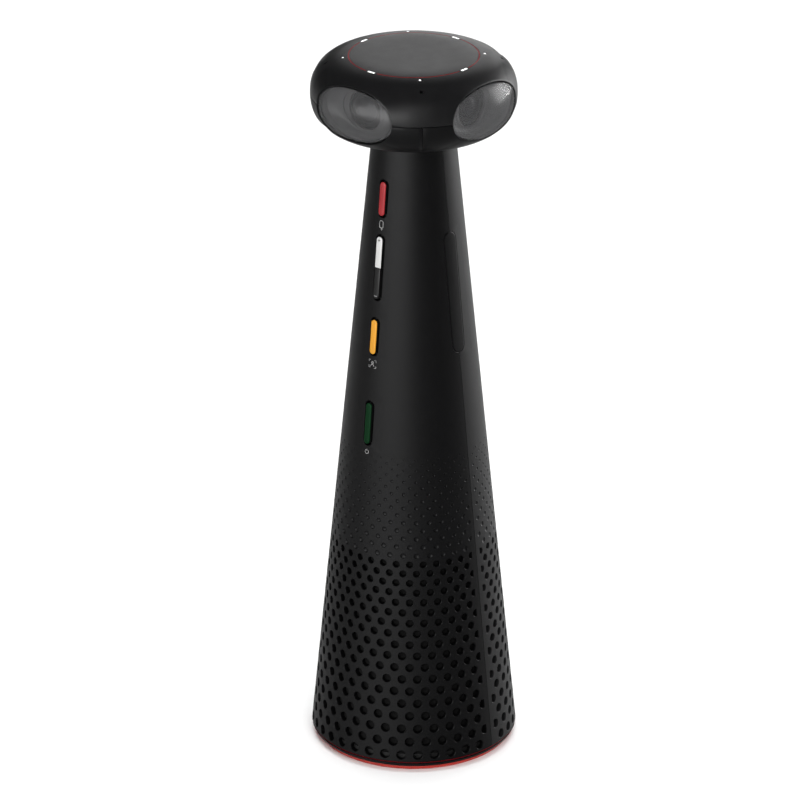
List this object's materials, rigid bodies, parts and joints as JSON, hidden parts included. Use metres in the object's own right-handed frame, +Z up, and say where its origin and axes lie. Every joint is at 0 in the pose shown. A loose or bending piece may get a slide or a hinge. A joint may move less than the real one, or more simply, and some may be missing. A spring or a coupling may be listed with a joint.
{
  "type": "conference camera",
  "caption": "Round-headed table conference camera: fixed lenses face all four ways over a perforated conical speaker column with coloured keys down its front.",
  "frame": {"origin": "centre of the foot pad's underside, on the table", "axes": "+Z up the column's axis; the keys face -Y"},
  "size_m": [0.0904, 0.0904, 0.3176],
  "materials": {
    "shell_black": "fine moulded texture, soft satin",
    "crown_grey": "fine satin",
    "inner_plastic": "plain moulded",
    "shroud_grey": "smooth satin dish with stepped rings",
    "smoked_glass": "polished smoked clear plastic",
    "lens_glass": "coated optical glass",
    "light_white": "translucent light pipe",
    "red_key_plastic": "satin",
    "yellow_key_plastic": "satin",
    "green_key_plastic": "satin",
    "white_key_plastic": "satin",
    "black_key_plastic": "satin",
    "trim_red": "semi-gloss",
    "foot_red": "satin",
    "foot_rubber": "matt non-slip",
    "steel": "plain plated",
    "aluminium": "cast, satin",
    "circuit_board": "solder mask",
    "acoustic_cloth": "fine woven mesh",
    "cone_paper": "coated paper",
    "surround_rubber": "soft half roll"
  },
  "bodies": {
    "housing": {"accent_ring": "trim_red", "ballast": "steel", "base_plate": "inner_plastic", "base_ring": "shell_black", "base_screw_1": "steel", "base_screw_2": "steel", "base_screw_3": "steel", "camera_window_back": "smoked_glass", "camera_window_front": "smoked_glass", "camera_window_left": "smoked_glass", "camera_window_right": "smoked_glass", "connector_board": "circuit_board", "connector_plate": "shell_black", "foot_pad": "foot_rubber", "foot_ring": "foot_red", "front_shell": "shell_black", "grille_liner": "acoustic_cloth", "head_board": "circuit_board", "heat_spreader": "aluminium", "key_board": "circuit_board", "lens_frame": "aluminium", "lens_glass_back": "lens_glass", "lens_glass_front": "lens_glass", "lens_glass_left": "lens_glass", "lens_glass_right": "lens_glass", "lens_module_back": "inner_plastic", "lens_module_front": "inner_plastic", "lens_module_left": "inner_plastic", "lens_module_right": "inner_plastic", "lens_shroud_back": "shroud_grey", "lens_shroud_front": "shroud_grey", "lens_shroud_left": "shroud_grey", "lens_shroud_right": "shroud_grey", "light_guide": "light_white", "lower_cover_back": "shell_black", "lower_cover_front": "shell_black", "main_board": "circuit_board", "neck_sleeve": "inner_plastic", "rear_shell": "shell_black", "ribbon_cable": "inner_plastic", "rocker_bracket": "steel", "rocker_pin": "steel", "side_panel_left": "shell_black", "side_panel_right": "shell_black", "sound_deflector": "inner_plastic", "speaker_basket": "inner_plastic", "speaker_box": "inner_plastic", "speaker_magnet": "steel", "speaker_surround": "surround_rubber", "top_cover": "shell_black", "top_plate": "crown_grey", "trim_ring": "trim_red"},
    "red_key_body": {"red_key": "red_key_plastic"},
    "yellow_key_body": {"yellow_key": "yellow_key_plastic"},
    "green_key_body": {"green_key": "green_key_plastic"},
    "volume_rocker": {"rocker_carrier": "inner_plastic", "volume_up_cap": "white_key_plastic", "volume_down_cap": "black_key_plastic"},
    "speaker_moving_part": {"speaker_cone": "cone_paper"}
  },
  "joints": [
    {"name": "red_key_press", "type": "slide", "parent": "housing", "child": "red_key_body", "axis": [0, 0.9952, -0.098], "range_m": [0, 0.0006], "stiffness_N_per_m": 2500},
    {"name": "yellow_key_press", "type": "slide", "parent": "housing", "child": "yellow_key_body", "axis": [0, 0.9952, -0.098], "range_m": [0, 0.0006], "stiffness_N_per_m": 2500},
    {"name": "green_key_press", "type": "slide", "parent": "housing", "child": "green_key_body", "axis": [0, 0.9952, -0.098], "range_m": [0, 0.0006], "stiffness_N_per_m": 2500},
    {"name": "volume_rock", "type": "hinge", "parent": "housing", "child": "volume_rocker", "pos_m": [0, -0.01832, 0.22701], "axis": [1, 0, 0], "range_deg": [-1.5, 1.5], "stiffness_Nm_per_rad": 0.5},
    {"name": "cone_stroke", "type": "slide", "parent": "housing", "child": "speaker_moving_part", "axis": [0, 0, 1], "range_m": [-0.0012, 0.0012], "stiffness_N_per_m": 1500}
  ]
}
